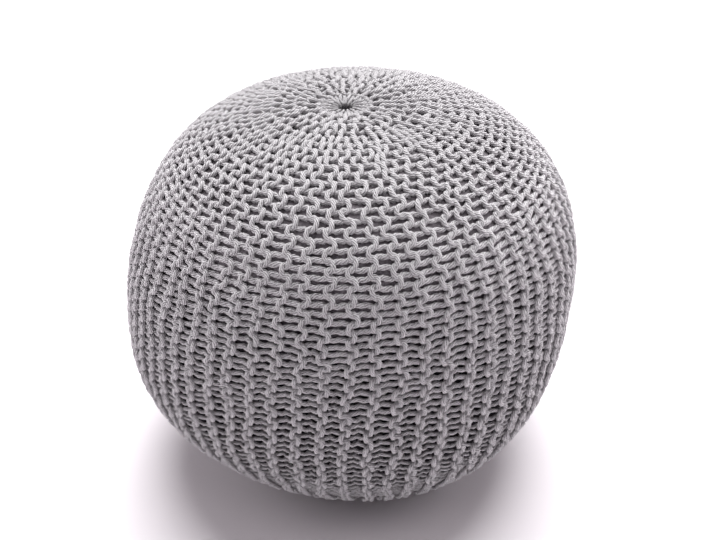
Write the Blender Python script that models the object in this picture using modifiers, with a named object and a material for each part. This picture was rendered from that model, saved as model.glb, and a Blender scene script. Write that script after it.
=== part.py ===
"""Round knitted pouf: one filled cloth body with raised ribs.

Units are metres, +Z is up and the pouf's front faces -Y. The origin is on the floor, under
the middle of the pouf. The cover is knitted round the filling, so it is one piece: its
ribs run from the gathered hole in the crown, down the sides and under the base.
"""

import math

import bpy
import numpy as np

# Driving dimensions
RADIUS = 0.250  # axis to a rib's crest, at the widest ring
CROWN_RISE = 0.219  # widest ring up to the crown
FLOOR_DROP = 0.1975  # widest ring down to the floor
RIBS = 64  # rib crests round the pouf
RIB_DEPTH = 0.006  # crest to valley on the sides
RIB_FULL_RADIUS = 0.150  # inside this radius the ribs crowd and grow shallow
RIB_FADE_HEIGHT = 0.012  # above the floor, where the cover is pressed flat
RIB_TURN = math.radians(-1.8)  # turns the front rib off the middle of the front
SIDE_RINGS = (13, 11)  # rings of faces above and below the widest ring

# Gathered hole: the cover's edge is drawn together and pulls the crown in round it
HOLE_RADIUS = 0.0065
HOLE_DEPTH = 0.014
HOLE_STEPS = (0.0, 0.5, 0.9, 1.4, 2.2)  # ring radii over the hole's radius
PUCKER_DEPTH = 0.004
PUCKER_RADIUS = 0.030

# Rounding of the outline, above and below the widest ring. Each half follows
# (radius / RADIUS) ** across + (height / reach) ** up = 1, and 2 and 2 are an ellipse.
CROWN_ACROSS = 2.92
CROWN_UP = 2.20
BELLY_REACH = 0.2168  # depth the lower half would have without a floor
BELLY_ACROSS = 2.23
BELLY_UP = 2.59

# Unevenness of the filling, as shares of the radius
AXIS_DRIFT = (0.095, 0.038, -0.164)  # sideways, per height, its square and its cube
LOW_START = 0.20  # height over radius where the lower part begins to change
LOW_SIDE_BULGE = 0.021
LOW_THREE_LOBES = -0.028

COTTON_GREY = (0.44, 0.42, 0.43, 1.0)
COTTON_ROUGHNESS = 0.9


def even_rings(reach, across, up, end_height, rings):
    """Radii and heights of rings at even steps of arc along one half of the outline."""
    turn = np.linspace(0.0, 0.5 * math.pi, 2000)
    radius = RADIUS * np.cos(turn) ** (2.0 / across)
    height = reach * np.sin(turn) ** (2.0 / up)
    arc = np.concatenate([[0.0], np.cumsum(np.hypot(np.diff(radius), np.diff(height)))])
    end = np.interp(end_height, height, arc)
    steps = np.linspace(0.0, end, rings + 1)
    return np.interp(steps, arc, radius), np.interp(steps, arc, height)


def crown_height(radius):
    """Height of the crown over the widest ring, with the pucker and the hole drawn in."""
    crown = CROWN_RISE * (1.0 - (radius / RADIUS) ** CROWN_ACROSS) ** (1.0 / CROWN_UP)
    pucker = PUCKER_DEPTH * np.exp(-((radius / PUCKER_RADIUS) ** 2))
    hole = HOLE_DEPTH / (1.0 + (radius / HOLE_RADIUS) ** 4)
    return crown - pucker - hole


def outline():
    """The turned outline, from the bottom of the hole, down the side, to the base's middle."""
    hole_radius = HOLE_RADIUS * np.array(HOLE_STEPS)
    crown_end = CROWN_RISE * (1.0 - (3.0 * HOLE_RADIUS / RADIUS) ** CROWN_ACROSS) ** (1.0 / CROWN_UP)
    crown_radius, _ = even_rings(CROWN_RISE, CROWN_ACROSS, CROWN_UP, crown_end, SIDE_RINGS[0])
    belly_radius, belly_depth = even_rings(
        BELLY_REACH, BELLY_ACROSS, BELLY_UP, FLOOR_DROP, SIDE_RINGS[1]
    )
    top_radius = np.concatenate([hole_radius, crown_radius[::-1]])
    radius = np.concatenate([top_radius, belly_radius[1:], [0.0]])
    height = np.concatenate([crown_height(top_radius), -belly_depth[1:], [-FLOOR_DROP]])
    return radius, height


def outward(radius, height):
    """Unit normal of the smooth outline, as its radial and upward parts."""
    across = np.where(height > 0.0, CROWN_ACROSS, BELLY_ACROSS)
    up = np.where(height > 0.0, CROWN_UP, BELLY_UP)
    reach = np.where(height > 0.0, CROWN_RISE, BELLY_REACH)
    radial = across * (radius / RADIUS) ** (across - 1.0) / RADIUS
    upward = np.sign(height) * up * (np.abs(height) / reach) ** (up - 1.0) / reach
    length = np.hypot(radial, upward)
    return radial / length, upward / length


def rib_the_cover(points):
    """Sinks the valleys between the ribs, then gives the body its uneven filling."""
    angle = np.arctan2(points[:, 1], points[:, 0])
    radius = np.hypot(points[:, 0], points[:, 1])
    height = points[:, 2]

    valley = 0.5 - 0.5 * np.cos(RIBS * angle)
    crowding = np.minimum(1.0, radius / RIB_FULL_RADIUS)
    pressed = np.clip((height + FLOOR_DROP) / RIB_FADE_HEIGHT, 0.0, 1.0)
    sink = RIB_DEPTH * valley * crowding * pressed
    radial, upward = outward(radius, height)
    radius = radius - sink * radial
    height = height - sink * upward

    angle = angle + RIB_TURN
    level = height / RADIUS
    low = np.clip(LOW_START - level, 0.0, 1.0)
    bulge = 1.0 + low * (LOW_SIDE_BULGE * np.cos(angle) + LOW_THREE_LOBES * np.cos(3.0 * angle))
    drift = RADIUS * sum(share * level ** (power + 1) for power, share in enumerate(AXIS_DRIFT))
    x = radius * bulge * np.cos(angle) + drift
    y = radius * bulge * np.sin(angle)
    x = x - 0.5 * (x.min() + x.max())
    y = y - 0.5 * (y.min() + y.max())
    return np.column_stack([x, y, height + FLOOR_DROP])


def turned_body(name, collection):
    """The outline turned round the axis, with a column of points on each crest and valley."""
    radius, height = outline()
    mesh = bpy.data.meshes.new(name + "_outline")
    points = [(float(r), 0.0, float(z)) for r, z in zip(radius, height)]
    mesh.from_pydata(points, [(i, i + 1) for i in range(len(points) - 1)], [])
    body = bpy.data.objects.new(name, mesh)
    collection.objects.link(body)
    screw = body.modifiers.new("turn", "SCREW")
    screw.angle = 2.0 * math.pi
    screw.steps = 2 * RIBS
    screw.render_steps = 2 * RIBS
    screw.use_merge_vertices = True
    screw.merge_threshold = 0.0001
    return body


def baked(body):
    """Replaces the object's mesh by what its modifiers make."""
    depsgraph = bpy.context.evaluated_depsgraph_get()
    mesh = bpy.data.meshes.new_from_object(body.evaluated_get(depsgraph))
    mesh.name = body.name
    outline_mesh = body.data
    body.modifiers.clear()
    body.data = mesh
    bpy.data.meshes.remove(outline_mesh)
    return mesh


def cotton():
    """Soft grey cotton yarn, matt."""
    material = bpy.data.materials.new("grey_cotton_yarn")
    material.use_nodes = True
    shader = material.node_tree.nodes["Principled BSDF"]
    shader.inputs["Base Color"].default_value = COTTON_GREY
    shader.inputs["Roughness"].default_value = COTTON_ROUGHNESS
    shader.inputs["Metallic"].default_value = 0.0
    material.diffuse_color = COTTON_GREY
    return material


def knitted_body(collection):
    """The whole pouf: a turned body whose points are then moved into ribs."""
    body = turned_body("knitted_body", collection)
    mesh = baked(body)
    points = np.empty(3 * len(mesh.vertices), dtype=np.float64)
    mesh.vertices.foreach_get("co", points)
    mesh.vertices.foreach_set("co", rib_the_cover(points.reshape(-1, 3)).ravel())
    mesh.update()
    mesh.shade_smooth()
    mesh.materials.clear()
    mesh.materials.append(cotton())
    return body


def main():
    for old in list(bpy.data.objects):
        bpy.data.objects.remove(old)
    collection = bpy.data.collections.new("knitted_pouf")
    bpy.context.scene.collection.children.link(collection)
    knitted_body(collection)


main()
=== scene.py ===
"""Round knitted pouf, dressed over its filled body.

The cover is a real garter knit: yarn rows run from the gathered hole in the crown, down the
sides and under the base, and their loops pass through each other. Knitted and purled rows
take turns, so every second boundary between rows stands out as a ridge. Units are metres.
"""

import math

import bpy
import numpy as np
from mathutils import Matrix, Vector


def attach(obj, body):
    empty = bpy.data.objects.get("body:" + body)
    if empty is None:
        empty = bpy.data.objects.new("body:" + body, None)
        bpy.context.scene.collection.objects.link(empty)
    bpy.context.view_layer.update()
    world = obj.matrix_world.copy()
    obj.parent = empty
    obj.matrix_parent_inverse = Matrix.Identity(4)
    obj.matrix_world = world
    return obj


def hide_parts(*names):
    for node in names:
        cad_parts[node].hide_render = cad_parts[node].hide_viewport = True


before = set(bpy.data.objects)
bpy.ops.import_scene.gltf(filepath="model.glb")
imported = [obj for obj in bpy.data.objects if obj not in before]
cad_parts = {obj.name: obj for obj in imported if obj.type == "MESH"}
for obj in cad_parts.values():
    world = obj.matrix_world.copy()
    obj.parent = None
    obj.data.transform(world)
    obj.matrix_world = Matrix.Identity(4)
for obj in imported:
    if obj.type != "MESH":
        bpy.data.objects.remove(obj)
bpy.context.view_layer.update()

bl_info = {
    "name": "Knitted Pouf",
    "version": (1, 0, 0),
    "blender": (4, 5, 0),
    "location": "View3D > Sidebar > Pouf",
    "description": "Makes a round garter-knit pouf, its filling and a soft studio",
    "category": "Add Mesh",
}

BODY = "root"
NODE = "knitted_body"
PANELS = 8  # pieces that the cover is made in
SEED = 11  # of every random draw


def linear(hex_colour):
    """An sRGB hex colour as linear red, green and blue."""
    parts = np.array([int(hex_colour[i : i + 2], 16) for i in (1, 3, 5)]) / 255.0
    low = parts / 12.92
    high = ((parts + 0.055) / 1.055) ** 2.4
    return tuple(float(c) for c in np.where(parts <= 0.04045, low, high))


# Sizes and colours


class PoufShape(bpy.types.PropertyGroup):
    """The filled body's outline, as in its CAD solid"""

    radius: bpy.props.FloatProperty(
        name="Radius", description="Axis to a ridge, at the widest ring", default=0.250, unit="LENGTH"
    )
    crown_rise: bpy.props.FloatProperty(
        name="Crown rise", description="Widest ring up to the crown", default=0.219, unit="LENGTH"
    )
    floor_drop: bpy.props.FloatProperty(
        name="Floor drop", description="Widest ring down to the floor", default=0.1975, unit="LENGTH"
    )
    belly_reach: bpy.props.FloatProperty(
        name="Belly reach",
        description="Depth the lower half would have without a floor",
        default=0.2168,
        unit="LENGTH",
    )
    crown_across: bpy.props.FloatProperty(
        name="Crown across", description="Exponent on the crown's radius", default=2.92
    )
    crown_up: bpy.props.FloatProperty(
        name="Crown up", description="Exponent on the crown's height", default=2.20
    )
    belly_across: bpy.props.FloatProperty(
        name="Belly across", description="Exponent on the belly's radius", default=2.23
    )
    belly_up: bpy.props.FloatProperty(
        name="Belly up", description="Exponent on the belly's depth", default=2.59
    )
    hole_radius: bpy.props.FloatProperty(
        name="Hole radius", description="Gathered hole in the crown", default=0.0053, unit="LENGTH"
    )
    hole_edge: bpy.props.FloatProperty(
        name="Hole edge", description="Sharpness of the hole's rim, as an exponent", default=9.0
    )
    hole_depth: bpy.props.FloatProperty(
        name="Hole depth", description="Depth of the gathered hole", default=0.018, unit="LENGTH"
    )
    pucker_depth: bpy.props.FloatProperty(
        name="Pucker depth", description="Dip of the crown round the hole", default=0.004, unit="LENGTH"
    )
    pucker_radius: bpy.props.FloatProperty(
        name="Pucker radius", description="Spread of that dip", default=0.030, unit="LENGTH"
    )
    drift: bpy.props.FloatVectorProperty(
        name="Axis drift",
        description="Sideways lean per height, its square and its cube, as shares of the radius",
        size=3,
        default=(0.095, 0.038, -0.164),
    )
    low_start: bpy.props.FloatProperty(
        name="Low start", description="Height over radius where the lower part changes", default=0.20
    )
    low_side_bulge: bpy.props.FloatProperty(
        name="Low side bulge", description="Fuller on one side, low down", default=0.021
    )
    low_three_lobes: bpy.props.FloatProperty(
        name="Low three lobes", description="Three flatter sides, low down", default=-0.028
    )


class KnitSettings(bpy.types.PropertyGroup):
    """The yarn and the knit"""

    ridges: bpy.props.IntProperty(
        name="Ridges", description="Raised ridges round the pouf, two rows each", default=64
    )
    turn: bpy.props.FloatProperty(
        name="Turn",
        description="Front ridge off the middle of the front",
        default=math.radians(-1.8),
        subtype="ANGLE",
    )
    yarn_radius: bpy.props.FloatProperty(
        name="Yarn radius", description="Half the yarn's thickness", default=0.00255, unit="LENGTH"
    )
    depth: bpy.props.FloatProperty(
        name="Loop depth",
        description="Middle of the cloth to the middle of a ridge's yarn",
        default=0.0041,
        unit="LENGTH",
    )
    valley_depth: bpy.props.FloatProperty(
        name="Valley depth",
        description="How far the yarn dips in the valley between two ridges",
        default=0.0036,
        unit="LENGTH",
    )
    overlap: bpy.props.FloatProperty(
        name="Overlap", description="A loop's reach past its row's edge", default=0.0036, unit="LENGTH"
    )
    omega: bpy.props.FloatProperty(
        name="Loop roundness", description="How far a loop's legs lean in, in stitches", default=0.162
    )
    front_omega: bpy.props.FloatProperty(
        name="Front roundness",
        description="What is added for front loops and taken off back ones",
        default=0.052,
    )
    unevenness: bpy.props.FloatProperty(
        name="Unevenness", description="Wander of the hand-knitted stitches", default=0.0008, unit="LENGTH"
    )
    steps: bpy.props.IntProperty(name="Steps", description="Points along one stitch", default=14)
    sides: bpy.props.IntProperty(name="Sides", description="Sides of the yarn", default=6)


class CottonSettings(bpy.types.PropertyGroup):
    """Colours of the yarn and of what shows behind it"""

    yarn: bpy.props.FloatVectorProperty(
        name="Yarn", description="Grey cotton", subtype="COLOR", default=linear("#E0DDE0")
    )
    # Partly painted shade: besides darker fibres and dye patches, the grooves between the yarn's threads
    # are painted towards this colour
    yarn_shade: bpy.props.FloatVectorProperty(
        name="Yarn shade",
        description="Darker fibres in the yarn",
        subtype="COLOR",
        default=linear("#6D636C"),
    )
    # Painted shade: the filling's dark colour stands in for the shadow in the gaps between the yarns
    filling: bpy.props.FloatVectorProperty(
        name="Filling",
        description="Dark ground behind the knit",
        subtype="COLOR",
        default=linear("#443F44"),
    )
    # Painted light: this paler colour on top stands for light falling through the crown's open stitches;
    # the cloth is not faded
    painted_crown_light: bpy.props.FloatVectorProperty(
        name="Filling crown",
        description="The same, faded on top",
        subtype="COLOR",
        default=linear("#AEA7AD"),
    )


class StudioSettings(bpy.types.PropertyGroup):
    """Camera and floor"""

    distance: bpy.props.FloatProperty(
        name="Distance", description="Camera to the middle of the widest ring", default=1.25, unit="LENGTH"
    )
    elevation: bpy.props.FloatProperty(
        name="Elevation",
        description="Camera above the horizon",
        default=math.radians(33.2),
        subtype="ANGLE",
    )
    roll: bpy.props.FloatProperty(
        name="Roll", description="Camera roll", default=math.radians(-1.94), subtype="ANGLE"
    )
    lens: bpy.props.FloatProperty(
        name="Lens", description="Focal length on a 36 mm wide picture", default=55.26
    )
    middle_x: bpy.props.FloatProperty(
        name="Middle across", description="Widest ring's middle in the picture, in pixels", default=349.0
    )
    middle_y: bpy.props.FloatProperty(
        name="Middle down", description="Widest ring's middle in the picture, in pixels", default=279.7
    )
    floor: bpy.props.FloatVectorProperty(
        name="Floor", description="Plain pale floor", subtype="COLOR", default=linear("#EDE8EC")
    )


# The body's surface


def ramp(value, start, end):
    """0 before start and 1 past end, which may lie below start. Between them it is x squared
    times (3 - 2 x), where x is the share of the way from start to end."""
    x = np.clip((value - start) / (end - start), 0.0, 1.0)
    return x * x * (3.0 - 2.0 * x)


class Surface:
    """The smooth surface that the ridges' tops touch on the sides.

    Its outline is two halves of a superellipse, (radius / R) ** across + (height / reach) **
    up = 1, over a flat base. The pucker lowers the crown by depth times exp(-(radius /
    spread) ** 2), and the hole by depth / (1 + (radius / hole radius) ** edge). It is turned
    round the axis, made fuller or flatter low down by cosines of the angle, and leant
    sideways by a cubic of the height. A point is given by its arc length from the crown's
    middle, which takes no account of the hole and the pucker, by its angle, and by its
    distance out along the outline's normal.
    """

    STEP = 0.00025  # arc length between the outline's points
    ROUNDING = 0.008  # how far each way the outline is averaged at the base's edge
    ROUNDED_SPAN = 3.0  # how many such lengths to each side of the edge that is done
    CURVE_POINTS = 3000  # on each half, before they are spaced evenly
    INNER_SHARE = 0.6  # share of the radius over which the crown's points are taken evenly
    INNER_POINTS = 1200
    BASE_POINTS = 500
    CENTRING_STRIDE = 40  # the body is centred by one outline point in this many
    CENTRING_ANGLES = 512  # at this many angles

    def __init__(self, shape):
        self.shape = shape
        turn = np.linspace(0.0, 0.5 * math.pi, self.CURVE_POINTS)
        crown = shape.radius * np.cos(turn[::-1]) ** (2.0 / shape.crown_across)
        inner_radius = self.INNER_SHARE * shape.radius
        inner = np.linspace(0.0, inner_radius, self.INNER_POINTS, endpoint=False)
        crown = np.concatenate([inner, crown[crown >= inner_radius]])
        rise = 1.0 - np.minimum(1.0, crown / shape.radius) ** shape.crown_across
        height = shape.crown_rise * rise ** (1.0 / shape.crown_up)
        belly = shape.radius * np.cos(turn) ** (2.0 / shape.belly_across)
        depth = shape.belly_reach * np.sin(turn) ** (2.0 / shape.belly_up)
        kept = (depth > 0.0) & (depth < shape.floor_drop)
        edge = float(np.interp(shape.floor_drop, depth, belly))
        base = np.linspace(edge, 0.0, self.BASE_POINTS)
        radius = np.concatenate([crown, belly[kept], base])
        height = np.concatenate([height, -depth[kept], np.full(len(base), -shape.floor_drop)])

        arc = np.concatenate([[0.0], np.cumsum(np.hypot(np.diff(radius), np.diff(height)))])
        self.length = float(arc[-1])
        self.arc = np.arange(0.0, self.length, self.STEP)
        self.radius = np.interp(self.arc, arc, radius)
        self.height = np.interp(self.arc, arc, height)
        self.edge_arc = self.length - edge
        self._round_base_edge()
        crown = np.where(self.arc < 0.5 * self.length, self.radius, shape.radius)
        self.height -= shape.pucker_depth * np.exp(-((crown / shape.pucker_radius) ** 2))
        self.height -= shape.hole_depth / (1.0 + (crown / shape.hole_radius) ** shape.hole_edge)
        along_r = np.gradient(self.radius, self.STEP)
        along_z = np.gradient(self.height, self.STEP)
        size = np.hypot(along_r, along_z)
        self.normal_r = -along_z / size
        self.normal_z = along_r / size
        self.shift = 0.0
        angle = np.linspace(0.0, 2.0 * math.pi, self.CENTRING_ANGLES, endpoint=False)
        x = self.place(self.arc[:: self.CENTRING_STRIDE, None], angle[None], 0.0)[..., 0]
        self.shift = -0.5 * float(x.min() + x.max())

    def _round_base_edge(self):
        """Rounds the base's edge: near it the outline is averaged over 8 mm to each side,
        weighted by a raised cosine."""
        half = int(self.ROUNDING / self.STEP)
        window = np.hanning(2 * half + 1)
        window /= window.sum()
        near = np.abs(self.arc - self.edge_arc) < self.ROUNDED_SPAN * self.ROUNDING
        for line in (self.radius, self.height):
            line[near] = np.convolve(line, window, mode="same")[near]

    def at(self, arc):
        """Outline radius at an arc length."""
        return np.interp(arc, self.arc, self.radius)

    def place(self, arc, angle, out):
        """Points at an arc length, an angle from the middle of the front and a distance out.

        The outline's radius is multiplied by 1 + low (side bulge cos a + three lobes cos 3a),
        where low is how far the point lies under low_start, in radii, and a is the angle
        from the side. The drift's cubic of the height is added to x.
        """
        shape = self.shape
        normal_r = np.interp(arc, self.arc, self.normal_r)
        normal_z = np.interp(arc, self.arc, self.normal_z)
        radius = self.at(arc) + normal_r * out
        height = np.interp(arc, self.arc, self.height) + normal_z * out
        turned = angle - 0.5 * math.pi
        level = height / shape.radius
        low = np.clip(shape.low_start - level, 0.0, 1.0)
        bulge = shape.low_side_bulge * np.cos(turned) + shape.low_three_lobes * np.cos(3.0 * turned)
        radius = radius * (1.0 + low * bulge)
        drift = shape.radius * sum(share * level ** (i + 1) for i, share in enumerate(shape.drift))
        x = radius * np.cos(turned) + drift + self.shift
        y = radius * np.sin(turned)
        z = height + shape.floor_drop
        return np.stack(np.broadcast_arrays(x, y, z), -1)

    def normals(self, arc, angle):
        """Unit normals of the turned outline."""
        normal_r = np.interp(arc, self.arc, self.normal_r)
        normal_z = np.interp(arc, self.arc, self.normal_z)
        turned = angle - 0.5 * math.pi
        x = normal_r * np.cos(turned)
        y = normal_r * np.sin(turned)
        return np.stack(np.broadcast_arrays(x, y, normal_z), -1)


# The knit

# Stitch width along the rows: arc length from the crown's middle, then width. The cover is pulled
# wider over the shoulder than round the belly.
STITCH_WIDTHS = (
    (0.000, 0.0240),
    (0.070, 0.0240),
    (0.100, 0.0225),
    (0.145, 0.0208),
    (0.185, 0.0195),
    (0.225, 0.0183),
    (0.260, 0.0166),
    (0.300, 0.0147),
    (0.340, 0.0148),
    (0.380, 0.0156),
    (0.420, 0.0170),
    (0.460, 0.0180),
    (0.800, 0.0180),
)
# Yarn thickness along the rows: arc length, then the heads' and the legs' share of the yarn's.
# Over the shoulder the legs lie slack and doubled. On the crown and low down they are thinner.
YARN_SHARES = (
    (0.000, 0.42, 0.42),
    (0.010, 0.50, 0.50),
    (0.020, 0.76, 0.76),
    (0.035, 1.00, 0.92),
    (0.050, 1.08, 0.94),
    (0.100, 1.10, 0.90),
    (0.150, 1.10, 0.86),
    (0.190, 1.08, 0.86),
    (0.222, 1.08, 1.18),
    (0.265, 1.06, 1.18),
    (0.300, 1.04, 1.00),
    (0.370, 1.02, 0.92),
    (0.430, 1.00, 0.80),
    (0.480, 0.96, 0.70),
    (0.540, 0.90, 0.66),
    (0.800, 0.80, 0.66),
)
FIRST_SINKER = 0.1577  # arc length of one loop that bulges left, half a stitch off the others
ROW_START = 0.0059  # arc length where the rows come out of the hole
ROW_END = 0.009  # arc length left at the base's middle
SHORT_ROW_RADII = (-1.0, 0.066, 0.036, 0.072)  # where four ridges in turn start, -1 for the hole
SHORT_ROW_SPREAD = 0.012  # how unevenly they start
SHORT_ROW_TAPER = 0.022  # radius over which a short row grows to its full height
SHORT_ROW_SHARE = 0.12  # share of full height where a short row's yarn begins
SHORT_ROW_FREE = 0.47  # share at which it has come up from under its neighbours
SHORT_ROW_SINK = 0.0060  # how deep under them it begins
LOOP_SHARE = 0.6  # share of full height at which a row's loops are full

# Where a loop turns, as the cosine of its place in the stitch: 0 on a leg, 1 at the head's middle
FRONT_TURN = (0.45, 0.90)
BACK_TURN = (0.30, 0.90)
TUCK_TURN = (0.80, 1.00)
BACK_TUCK = 0.0034  # how much further the back's heads press into the filling

# What changes round the hole, each between two radii
LOOP_RADII = (0.014, 0.056)  # the loops grow from none to full depth
SPREAD_RADII = (0.010, 0.030)  # they spread to the full height of their row
CALM_RADII = (0.020, 0.070)  # their unevenness grows to full
CROWDED_RADII = (0.036, 0.016)  # going inwards, the purled rows sink between the knitted ones
CROWDED_SINK = 0.0018

# What is particular to the crown, each between two arc lengths
CROWN_FADE = (0.300, 0.175)  # from none on the sides to the full crown
HOLE_FADE = (0.012, 0.042)  # from none in the hole to the full crown
CROWN_FLATNESS = 0.75  # how much flatter the cloth is where the crown is stretched
FLAT_SHARE = 0.4  # share of that flatness by the hole
FLAT_FADE = (0.070, 0.130)  # where the rest of it comes in
CROWN_TUCK = 0.0016  # what is added to the back's tuck there, since the filling is nearer
CROWN_LIFT = 0.0016  # how far the soft loops of the crown stand above the smooth surface
CORE_RISE = 0.0045  # how much nearer to the yarn the filling is under the crown
CORE_HOLE_FADE = (0.040, 0.100)  # from none by the hole to that rise
CORE_SIDE_FADE = (0.330, 0.210)  # from none on the sides to that rise

# The wander of hand-knitted stitches
WANDER_WAVES = 24
WANDER_LENGTHS = (0.024, 0.110)
SWING = 2.0  # sideways, as a share of the unevenness along the row
PUFF = 0.5  # in depth

PLY_OFFSET = 7.0  # metres of yarn by which the plies of a panel's last row start off the first's

FILLING_COLUMNS = 128
FILLING_RINGS = 72
FILLING_GAP = 2.55  # yarn radii from the cloth's middle to the filling
FILLING_EDGE = 0.02  # arc length at each pole that one point closes
FILLING_DIMPLE = 0.025  # how far the filling dips under the crown's hole


def stitch_width(arc):
    """Width of a stitch at an arc length."""
    widths = np.array(STITCH_WIDTHS)
    return np.interp(arc, widths[:, 0], widths[:, 1])


def stitch_scale(surface):
    """Arc lengths and each one's count of stitches, the sum of arc length over stitch width.

    It is 0.5 at FIRST_SINKER, so the heads that bulge left fall on half counts.
    """
    count = np.cumsum(surface.STEP / stitch_width(surface.arc))
    return surface.arc, count - np.interp(FIRST_SINKER, surface.arc, count) + 0.5


def ridge_shares(surface, knit, arc):
    """How much of its full width each ridge has at each arc length: ridges by arcs.

    Every fourth ridge reaches the hole. The others are short rows, which turn back at the
    radii in SHORT_ROW_RADII, and grow from 0 to 1 by a smooth ramp over SHORT_ROW_TAPER.
    """
    rng = np.random.default_rng(SEED)
    first = np.array(SHORT_ROW_RADII)[np.arange(knit.ridges) % len(SHORT_ROW_RADII)]
    spread = rng.uniform(-0.5, 0.5, knit.ridges) * SHORT_ROW_SPREAD
    first = (first + np.where(first > 0.0, spread, 0.0))[:, None]
    return ramp(surface.at(arc)[None], first, first + SHORT_ROW_TAPER)


def crown_share(arc):
    """1 on the crown, falling to 0 before the widest ring, and 0 in the hole."""
    return ramp(arc, *CROWN_FADE) * ramp(arc, *HOLE_FADE)


def core_rise(arc):
    """How far the filling rises behind the crown's open stitches: none by the hole or the sides."""
    return CORE_RISE * ramp(arc, *CORE_HOLE_FADE) * ramp(arc, *CORE_SIDE_FADE)


def wander(arc, angle, radius, size, rng):
    """A smooth random shift: a sum of plane waves 24 to 110 mm long over the surface.

    Each wave goes a whole number of times round the widest ring, so the back has no seam. The
    sum's root mean square is the size given.
    """
    total = np.zeros(np.broadcast_shapes(arc.shape, angle.shape))
    for _ in range(WANDER_WAVES):
        length = rng.uniform(*WANDER_LENGTHS)
        heading = rng.uniform(0.0, 2.0 * math.pi)
        around = round(radius * 2.0 * math.pi * math.cos(heading) / length)
        along = 2.0 * math.pi * math.sin(heading) / length
        total += np.sin(around * angle + along * arc + rng.uniform(0.0, 2.0 * math.pi))
    return size * total * math.sqrt(2.0 / WANDER_WAVES)


def row_paths(surface, knit, first_ridge, last_ridge):
    """Yarn centrelines of the rows in some ridges: points, normals, yarn radius and what is kept.

    Along a row, t counts stitches. The yarn runs at arc(t + omega sin 4 pi t), and sideways
    by reach cos 2 pi t from the row's middle, where reach is half the row's height plus the
    overlap. In depth, ramps of cos 2 pi t that are 0 on the legs and 1 on the heads bring it
    out by the loop's depth at one head, in by the valley's depth at the other, and there by
    the tuck as well. A purled row has its front and back heads the other way about.

    These steps grow from nothing at the hole and at a short row's start, and are flatter on
    the crown, where the rows are lifted. Purled rows sink where they crowd round the hole,
    and a short row begins sunk. Last, smooth random shifts move the yarn along its row,
    sideways and inwards.
    """
    arc_scale, count_scale = stitch_scale(surface)
    start = float(np.interp(ROW_START, arc_scale, count_scale))
    end = float(np.interp(surface.length - ROW_END, arc_scale, count_scale))
    t = np.arange(math.ceil(start * knit.steps), math.floor(end * knit.steps) + 1) / knit.steps
    phase = 2.0 * math.pi * t[None]
    beat = np.cos(phase)
    ridges = np.arange(first_ridge, last_ridge)
    purled = np.tile([0.0, 1.0], len(ridges))[:, None]
    forward = beat * (1.0 - 2.0 * purled)
    lean = (knit.omega + knit.front_omega * forward) * np.sin(2.0 * phase)
    arc = np.interp(t + lean, count_scale, arc_scale)
    arc = np.clip(arc, ROW_START, surface.length - ROW_END)
    middle_arc = np.interp(t, count_scale, arc_scale)

    shares = ridge_shares(surface, knit, middle_arc)
    total = shares.sum(axis=0)
    before = np.cumsum(shares, axis=0) - shares
    share = np.repeat(shares[ridges], 2, axis=0)
    middle = before[ridges].repeat(2, axis=0) - 0.5 + (0.25 + 0.5 * purled) * share
    radius = surface.at(middle_arc)[None]
    height = math.pi * radius * share / total

    free = ramp(radius, *LOOP_RADII)
    grown = free * ramp(share, 0.0, LOOP_SHARE)
    reach = 0.5 * height * ramp(radius, *SPREAD_RADII) + knit.overlap * grown
    front = ramp(forward, *FRONT_TURN)
    back = ramp(-forward, *BACK_TURN)
    hidden = ramp(-forward, *TUCK_TURN)
    crown = crown_share(middle_arc)[None]
    stretched = FLAT_SHARE + (1.0 - FLAT_SHARE) * ramp(middle_arc, *FLAT_FADE)
    flat = 1.0 - CROWN_FLATNESS * crown * stretched
    depth = knit.depth * flat
    tuck = BACK_TUCK + CROWN_TUCK * crown
    lift = (depth * front - knit.valley_depth * flat * back - tuck * hidden) * grown
    crowded = ramp(radius, *CROWDED_RADII)
    covered = 1.0 - ramp(share, SHORT_ROW_SHARE, SHORT_ROW_FREE)
    sink = CROWDED_SINK * crowded * purled + SHORT_ROW_SINK * covered
    places, heads, legs = np.array(YARN_SHARES).T
    heads = np.interp(middle_arc, places, heads)[None]
    legs = np.interp(middle_arc, places, legs)[None]
    yarn = knit.yarn_radius * (legs + (heads - legs) * front)
    out = lift - depth * free - knit.yarn_radius * heads - sink + CROWN_LIFT * crown

    angle = knit.turn + 2.0 * math.pi * middle / total + reach * beat / radius
    rng = np.random.default_rng(SEED)
    calm = ramp(radius, *CALM_RADII)
    widest = surface.shape.radius
    swing = wander(arc, angle, widest, SWING * knit.unevenness, rng) * calm
    slip = wander(arc, angle, widest, knit.unevenness, rng) * calm
    puff = wander(arc, angle, widest, PUFF * knit.unevenness, rng) * calm
    angle = angle + swing / np.maximum(radius, CALM_RADII[0])
    arc = np.clip(arc + slip, ROW_START, surface.length - ROW_END)
    out = out + np.minimum(0.0, puff - PUFF * knit.unevenness)

    points = surface.place(arc, angle, out)
    normals = surface.normals(arc, angle)
    return points, normals, yarn, share > SHORT_ROW_SHARE


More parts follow.
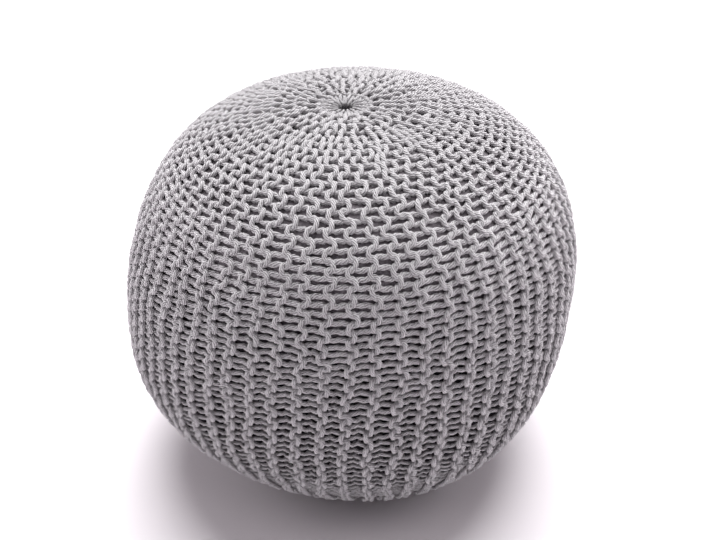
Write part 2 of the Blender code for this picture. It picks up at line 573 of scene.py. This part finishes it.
def tube_mesh(points, normals, radius, kept, sides):
    """Carries a round profile along many paths at once.

    A ring's points are centre + radius (cos b N + sin b B), where b goes evenly round, N is
    the surface's normal made square to the path and B is square to both. Each run of rings
    that is kept has a cap at either end. Gives vertices, faces as corner lists with their
    starts, and a UV of turns round the yarn and metres along it.
    """
    along = np.gradient(points, axis=1)
    along /= np.linalg.norm(along, axis=-1, keepdims=True)
    north = normals - (normals * along).sum(-1, keepdims=True) * along
    north /= np.linalg.norm(north, axis=-1, keepdims=True)
    east = np.cross(along, north)
    corner = 2.0 * math.pi * np.arange(sides)[:, None] / sides
    ring = np.cos(corner) * north[..., None, :] + np.sin(corner) * east[..., None, :]
    vertices = points[..., None, :] + radius[..., None, None] * ring

    rows, steps = kept.shape
    number = np.arange(rows * steps * sides).reshape(rows, steps, sides)
    here, after = number[:, :-1], number[:, 1:]
    quads = np.stack([here, np.roll(here, -1, 2), np.roll(after, -1, 2), after], -1)
    both = kept[:, :-1] & kept[:, 1:]
    quads = quads[both].reshape(-1, 4)
    pace = np.linalg.norm(np.diff(points, axis=1), axis=-1)
    run = np.concatenate([np.zeros((rows, 1)), np.cumsum(pace, axis=1)], axis=1)
    run = run + np.linspace(0.0, PLY_OFFSET, rows)[:, None]
    turn = np.arange(sides) / sides
    low = np.broadcast_to(turn, here.shape)
    high = low + 1.0 / sides
    length = np.broadcast_to(run[..., None], number.shape)
    uv = np.stack(
        [
            np.stack([low, high, high, low], -1),
            np.stack([length[:, :-1], length[:, :-1], length[:, 1:], length[:, 1:]], -1),
        ],
        -1,
    )
    uv = uv[both].reshape(-1, 4, 2)

    starts = both & ~np.pad(both, ((0, 0), (1, 0)))[:, :-1]
    ends = both & ~np.pad(both, ((0, 0), (0, 1)))[:, 1:]
    first_caps = here[starts][:, ::-1]
    last_caps = after[ends]
    caps = np.concatenate([first_caps, last_caps])

    corners = np.concatenate([quads.ravel(), caps.ravel()])
    begin = np.concatenate([4 * np.arange(len(quads)), 4 * len(quads) + sides * np.arange(len(caps))])
    used, corners = np.unique(corners, return_inverse=True)
    uv = np.concatenate([uv.reshape(-1, 2), np.zeros((caps.size, 2))])
    return vertices.reshape(-1, 3)[used], corners.ravel(), begin, uv


def new_piece(name, vertices, corners, begin, uv, material):
    """An object at the origin from arrays of points, face corners, face starts and UVs."""
    mesh = bpy.data.meshes.new(name)
    mesh.vertices.add(len(vertices))
    mesh.vertices.foreach_set("co", np.ascontiguousarray(vertices, dtype=np.float32).ravel())
    mesh.loops.add(len(corners))
    mesh.loops.foreach_set("vertex_index", corners.astype(np.int32))
    mesh.polygons.add(len(begin))
    mesh.polygons.foreach_set("loop_start", begin.astype(np.int32))
    mesh.update(calc_edges=True)
    layer = mesh.uv_layers.new(name="yarn")
    layer.data.foreach_set("uv", uv.astype(np.float32).ravel())
    mesh.shade_smooth()
    if mesh.validate():
        raise RuntimeError(name + " has faces that don't hold together")
    mesh.materials.append(material)
    piece = bpy.data.objects.new(name, mesh)
    bpy.context.scene.collection.objects.link(piece)
    return piece


def filling_mesh(surface, inset, columns, rings):
    """The surface moved in along its normals by the inset, less the crown's lift and the
    filling's own rise there, and closed by one point at each pole."""
    arc = np.linspace(FILLING_EDGE, surface.length - FILLING_EDGE, rings)
    angle = np.linspace(0.0, 2.0 * math.pi, columns, endpoint=False)
    out = (CROWN_LIFT * crown_share(arc) + core_rise(arc) - inset)[:, None]
    grid = surface.place(arc[:, None], angle[None], out).reshape(-1, 3)
    top = grid[:columns].mean(axis=0) - [0.0, 0.0, FILLING_DIMPLE]
    bottom = grid[-columns:].mean(axis=0)
    vertices = np.concatenate([grid, [top, bottom]])
    number = np.arange(rings * columns).reshape(rings, columns)
    right = np.roll(number, -1, 1)
    quads = np.stack([number[:-1], number[1:], right[1:], right[:-1]], -1).reshape(-1, 4)
    top_faces = np.stack([np.full(columns, rings * columns), number[0], right[0]], -1)
    bottom_faces = np.stack([np.full(columns, rings * columns + 1), right[-1], number[-1]], -1)
    corners = np.concatenate([quads.ravel(), top_faces.ravel(), bottom_faces.ravel()])
    begin = np.concatenate(
        [4 * np.arange(len(quads)), 4 * len(quads) + 3 * np.arange(2 * columns)]
    )
    return vertices, corners, begin, np.zeros((len(corners), 2))


# Materials

THREADS = 7.0  # seen round the cord
THREAD_LAY = 0.028  # length of cord in which they go round it once
THREAD_CREST = 0.6  # the threads' sine wave is cut off here, which leaves narrow grooves
FIBRE_SPACING = 0.010 / 7.0  # seven tufts of fibre in 10 mm
DYE_SPACING = 0.010 / 3.3  # a paler or darker patch about every 3 mm
GROOVE_SHADE_WEIGHT = 0.55  # in the tone, where the fibre has 1: the threads' wave, which paints shade into their grooves
DYE_WEIGHT = 0.7
TONE_RANGE = (0.64, 1.12)  # of their sum, from the shade to the full colour
FIBRE_RELIEF = 0.6  # of the threads' height
THREAD_RELIEF = 0.0014  # height of the threads above their grooves

CLOTH_SPACING = 0.010 / 3.0  # three blotches on the filling in 10 mm
PAINTED_LIGHT_HEIGHTS = (0.24, 0.31)  # heights between which it is painted pale, as light on the crown


def add_node(tree, kind, settings=None, links=None):
    """Adds a node. settings holds properties and socket values, links holds what feeds a socket."""
    node = tree.nodes.new(kind)
    for name, value in (settings or {}).items():
        if isinstance(name, str) and hasattr(node, name):
            setattr(node, name, value)
        else:
            node.inputs[name].default_value = value
    for name, source in (links or {}).items():
        tree.links.new(source, node.inputs[name])
    return node


def new_material(name):
    """A new material with a Principled shader: gives it, its node tree and the shader."""
    material = bpy.data.materials.new(name)
    material.use_nodes = True
    return material, material.node_tree, material.node_tree.nodes["Principled BSDF"]


def cotton_yarn(colours):
    """Plied cotton cord, spun from many soft threads and twisted.

    Seven threads run round the cord at a lay of 28 mm, each over 2 mm wide. They give fine
    slanting lines, with painted shade in the grooves between them, a soft bloom of loose fibre and no
    gloss.
    their tufts are drawn 1.4 mm apart, as coarse as they need to be to show.
    """
    material, tree, shader = new_material("plied_cotton_cord")
    uv = add_node(tree, "ShaderNodeUVMap", {"uv_map": "yarn"})
    split = add_node(tree, "ShaderNodeSeparateXYZ", links={0: uv.outputs["UV"]})
    lean = add_node(
        tree, "ShaderNodeMath", {"operation": "MULTIPLY", 1: THREADS / THREAD_LAY},
        {0: split.outputs["Y"]},
    )
    around = add_node(
        tree, "ShaderNodeMath", {"operation": "MULTIPLY_ADD", 1: THREADS},
        {0: split.outputs["X"], 2: lean.outputs[0]},
    )
    angle = add_node(
        tree, "ShaderNodeMath", {"operation": "MULTIPLY", 1: 2.0 * math.pi}, {0: around.outputs[0]}
    )
    wave = add_node(tree, "ShaderNodeMath", {"operation": "SINE"}, {0: angle.outputs[0]})
    thread = add_node(
        tree, "ShaderNodeMapRange", {"From Min": -1.0, "From Max": THREAD_CREST},
        {"Value": wave.outputs[0]},
    )
    place = add_node(tree, "ShaderNodeTexCoord")
    fibre = add_node(
        tree, "ShaderNodeTexNoise", {"Scale": 1.0 / FIBRE_SPACING, "Detail": 2.0, "Roughness": 0.6},
        {"Vector": place.outputs["Object"]},
    )
    dye = add_node(
        tree, "ShaderNodeTexNoise", {"Scale": 1.0 / DYE_SPACING, "Detail": 3.0, "Roughness": 0.6},
        {"Vector": place.outputs["Object"]},
    )
    # Painted shade: the threads' wave darkens the colour in the grooves between them
    spun = add_node(
        tree, "ShaderNodeMath", {"operation": "MULTIPLY_ADD", 1: GROOVE_SHADE_WEIGHT},
        {0: thread.outputs[0], 2: fibre.outputs["Fac"]},
    )
    dyed = add_node(
        tree, "ShaderNodeMath", {"operation": "MULTIPLY_ADD", 1: DYE_WEIGHT},
        {0: dye.outputs["Fac"], 2: spun.outputs[0]},
    )
    tone = add_node(
        tree, "ShaderNodeMapRange", {"From Min": TONE_RANGE[0], "From Max": TONE_RANGE[1]},
        {"Value": dyed.outputs[0]},
    )
    colour = add_node(
        tree, "ShaderNodeMix",
        {"data_type": "RGBA", 6: (*colours.yarn_shade, 1.0), 7: (*colours.yarn, 1.0)},
        {0: tone.outputs[0]},
    )
    height = add_node(
        tree, "ShaderNodeMath", {"operation": "MULTIPLY_ADD", 1: FIBRE_RELIEF},
        {0: fibre.outputs["Fac"], 2: thread.outputs[0]},
    )
    bump = add_node(
        tree, "ShaderNodeBump", {"Strength": 1.0, "Distance": THREAD_RELIEF},
        {"Height": height.outputs[0]},
    )
    tree.links.new(colour.outputs[2], shader.inputs["Base Color"])
    tree.links.new(bump.outputs["Normal"], shader.inputs["Normal"])
    shader.inputs["Roughness"].default_value = 0.92
    shader.inputs["Specular IOR Level"].default_value = 0.25
    shader.inputs["Sheen Weight"].default_value = 0.5
    shader.inputs["Sheen Roughness"].default_value = 0.6
    return material


def filling_cloth(colours):
    """Dull woven cotton deep behind the knit, which shows only in the gaps between the yarns.

    Its dark colour is painted shade in those gaps. It gives soft shadow and no gloss. It turns
    from dark to a pale grey, painted light, between 0.24 and 0.31 m up, so that the crown's
    open stitches stay lighter than the slits below, and it is blotched about every 3 mm.
    """
    material, tree, shader = new_material("backing_cloth_painted_shade_and_light")
    place = add_node(tree, "ShaderNodeTexCoord")
    blotch = add_node(
        tree, "ShaderNodeTexNoise", {"Scale": 1.0 / CLOTH_SPACING, "Detail": 2.0, "Roughness": 0.7},
        {"Vector": place.outputs["Object"]},
    )
    split = add_node(tree, "ShaderNodeSeparateXYZ", links={0: place.outputs["Object"]})
    # Painted light: the filling turns pale above 0.24 m, where light falls through the crown's stitches
    painted_light_share = add_node(
        tree, "ShaderNodeMapRange", {"From Min": PAINTED_LIGHT_HEIGHTS[0], "From Max": PAINTED_LIGHT_HEIGHTS[1]},
        {"Value": split.outputs["Z"]},
    )
    cloth = add_node(
        tree, "ShaderNodeMix",
        {"data_type": "RGBA", 6: (*colours.filling, 1.0), 7: (*colours.painted_crown_light, 1.0)},
        {0: painted_light_share.outputs[0]},
    )
    colour = add_node(
        tree, "ShaderNodeMix", {"data_type": "RGBA", "blend_type": "MULTIPLY", 0: 1.0},
        {6: cloth.outputs[2], 7: blotch.outputs["Fac"]},
    )
    tree.links.new(colour.outputs[2], shader.inputs["Base Color"])
    shader.inputs["Roughness"].default_value = 1.0
    shader.inputs["Specular IOR Level"].default_value = 0.1
    return material


def plain_floor(colour):
    """Matt near-white studio floor, which gives a plain ground and throws light back up."""
    material, _, shader = new_material("matt_white_floor")
    shader.inputs["Base Color"].default_value = (*colour, 1.0)
    shader.inputs["Roughness"].default_value = 0.9
    shader.inputs["Specular IOR Level"].default_value = 0.1
    return material


# The studio

FLOOR_HALF = 50.0  # half the floor's side, so that its edge is far off
SKY_WHITE = "#FFF6FD"
SOFTBOX_WHITE = "#FFFAFD"
SOFTBOX_AIM = (0.0, 0.0, 0.2)
# Name, place, size in metres and power in watts
SOFTBOXES = (
    ("left_softbox", (-1.7, 0.25, 0.5), 1.5, 20.0),
    ("right_softbox", (1.7, 0.25, 0.5), 1.5, 19.0),
    ("front_softbox", (0.0, -1.0, 2.6), 1.2, 6.8),
)
PICTURE_WIDTH = 716.0  # the photo's, in pixels
PICTURE_HEIGHT = 540.0
FILM_WIDTH = 36.0  # in millimetres


# Operators


class POUF_OT_filling(bpy.types.Operator):
    """Make the filled body that the knit is stretched over"""

    bl_idname = "pouf.filling"
    bl_label = "Filling"

    def execute(self, context):
        scene = context.scene
        surface = Surface(scene.pouf_shape)
        knit = scene.pouf_knit
        inset = knit.depth + FILLING_GAP * knit.yarn_radius
        mesh = filling_mesh(surface, inset, FILLING_COLUMNS, FILLING_RINGS)
        piece = new_piece("filled_body", *mesh, filling_cloth(scene.pouf_cotton))
        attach(piece, BODY)
        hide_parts(NODE)
        return {"FINISHED"}


class POUF_OT_cover(bpy.types.Operator):
    """Knit the cover, in panels of neighbouring rows"""

    bl_idname = "pouf.cover"
    bl_label = "Knitted cover"

    def execute(self, context):
        scene = context.scene
        knit = scene.pouf_knit
        surface = Surface(scene.pouf_shape)
        material = cotton_yarn(scene.pouf_cotton)
        ridges = knit.ridges // PANELS
        for panel in range(PANELS):
            paths = row_paths(surface, knit, panel * ridges, (panel + 1) * ridges)
            mesh = tube_mesh(*paths, knit.sides)
            piece = new_piece(f"knitted_rows_{panel + 1}", *mesh, material)
            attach(piece, BODY)
            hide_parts(NODE)
        return {"FINISHED"}


class POUF_OT_stage(bpy.types.Operator):
    """Make the floor, the lights and the camera"""

    bl_idname = "pouf.stage"
    bl_label = "Studio"

    def execute(self, context):
        scene = context.scene
        studio = scene.pouf_studio
        self.make_floor(studio)
        self.make_lights(scene)
        self.make_camera(scene, studio)
        scene.view_settings.view_transform = "Standard"
        return {"FINISHED"}

    def make_floor(self, studio):
        mesh = bpy.data.meshes.new("floor")
        half = FLOOR_HALF
        corners = [(-half, -half, 0.0), (half, -half, 0.0), (half, half, 0.0), (-half, half, 0.0)]
        mesh.from_pydata(corners, [], [(0, 1, 2, 3)])
        mesh.materials.append(plain_floor(studio.floor))
        floor = bpy.data.objects.new("floor", mesh)
        bpy.context.scene.collection.objects.link(floor)

    def make_lights(self, scene):
        world = bpy.data.worlds.new("white_studio")
        world.use_nodes = True
        sky_light = world.node_tree.nodes["Background"]
        sky_light.inputs["Color"].default_value = (*linear(SKY_WHITE), 1.0)
        sky_light.inputs["Strength"].default_value = 0.09
        scene.world = world
        diffuser = bpy.data.lights.new("overhead_diffuser", "SUN")
        diffuser.energy = 5.9
        diffuser.angle = math.radians(55.0)
        overhead = bpy.data.objects.new("overhead_diffuser", diffuser)
        overhead.rotation_euler = (math.radians(-28.5), math.radians(6.0), 0.0)
        scene.collection.objects.link(overhead)
        for name, place, size, power in SOFTBOXES:
            data = bpy.data.lights.new(name, "AREA")
            data.size = size
            data.energy = power
            data.color = linear(SOFTBOX_WHITE)
            light = bpy.data.objects.new(name, data)
            scene.collection.objects.link(light)
            light.location = place
            back = np.array(place) - np.array(SOFTBOX_AIM)
            light.rotation_mode = "QUATERNION"
            light.rotation_quaternion = Vector(back).to_track_quat("Z", "Y")

    def make_camera(self, scene, studio):
        """The camera looks at the widest ring's middle, which the lens puts off the picture's."""
        data = bpy.data.cameras.new("camera")
        data.sensor_width = FILM_WIDTH
        data.lens = studio.lens
        data.shift_x = (0.5 * PICTURE_WIDTH - studio.middle_x) / PICTURE_WIDTH
        data.shift_y = (studio.middle_y - 0.5 * PICTURE_HEIGHT) / PICTURE_WIDTH
        data.clip_start = 0.05
        data.clip_end = 60.0
        camera = bpy.data.objects.new("camera", data)
        scene.collection.objects.link(camera)
        middle = Vector((0.0, 0.0, scene.pouf_shape.floor_drop))
        middle.x += Surface(scene.pouf_shape).shift
        rise = studio.elevation
        back = Vector((0.0, -math.cos(rise), math.sin(rise)))
        camera.location = middle + studio.distance * back
        facing = back.to_track_quat("Z", "Y").to_matrix()
        turn = Matrix.Rotation(studio.roll, 3, "Z")
        camera.rotation_euler = (facing @ turn).to_euler()
        scene.camera = camera


class POUF_PT_panel(bpy.types.Panel):
    """Sizes, colours and pieces of the pouf"""

    bl_idname = "POUF_PT_panel"
    bl_label = "Knitted Pouf"
    bl_space_type = "VIEW_3D"
    bl_region_type = "UI"
    bl_category = "Pouf"

    def draw(self, context):
        layout = self.layout
        for group in ("pouf_shape", "pouf_knit", "pouf_cotton", "pouf_studio"):
            settings = getattr(context.scene, group)
            box = layout.box()
            for name in settings.bl_rna.properties.keys():
                if name not in {"rna_type", "name"}:
                    box.prop(settings, name)
        for operator in OPERATORS:
            layout.operator(operator.bl_idname)


GROUPS = {
    "pouf_shape": PoufShape,
    "pouf_knit": KnitSettings,
    "pouf_cotton": CottonSettings,
    "pouf_studio": StudioSettings,
}
OPERATORS = (POUF_OT_filling, POUF_OT_cover, POUF_OT_stage)
CLASSES = (*GROUPS.values(), *OPERATORS, POUF_PT_panel)


def register():
    for cls in CLASSES:
        bpy.utils.register_class(cls)
    for name, group in GROUPS.items():
        setattr(bpy.types.Scene, name, bpy.props.PointerProperty(type=group))


def unregister():
    for name in GROUPS:
        delattr(bpy.types.Scene, name)
    for cls in reversed(CLASSES):
        bpy.utils.unregister_class(cls)


def main():
    register()
    bpy.ops.pouf.filling()
    bpy.ops.pouf.cover()
    bpy.ops.pouf.stage()


if __name__ == "__main__":
    main()
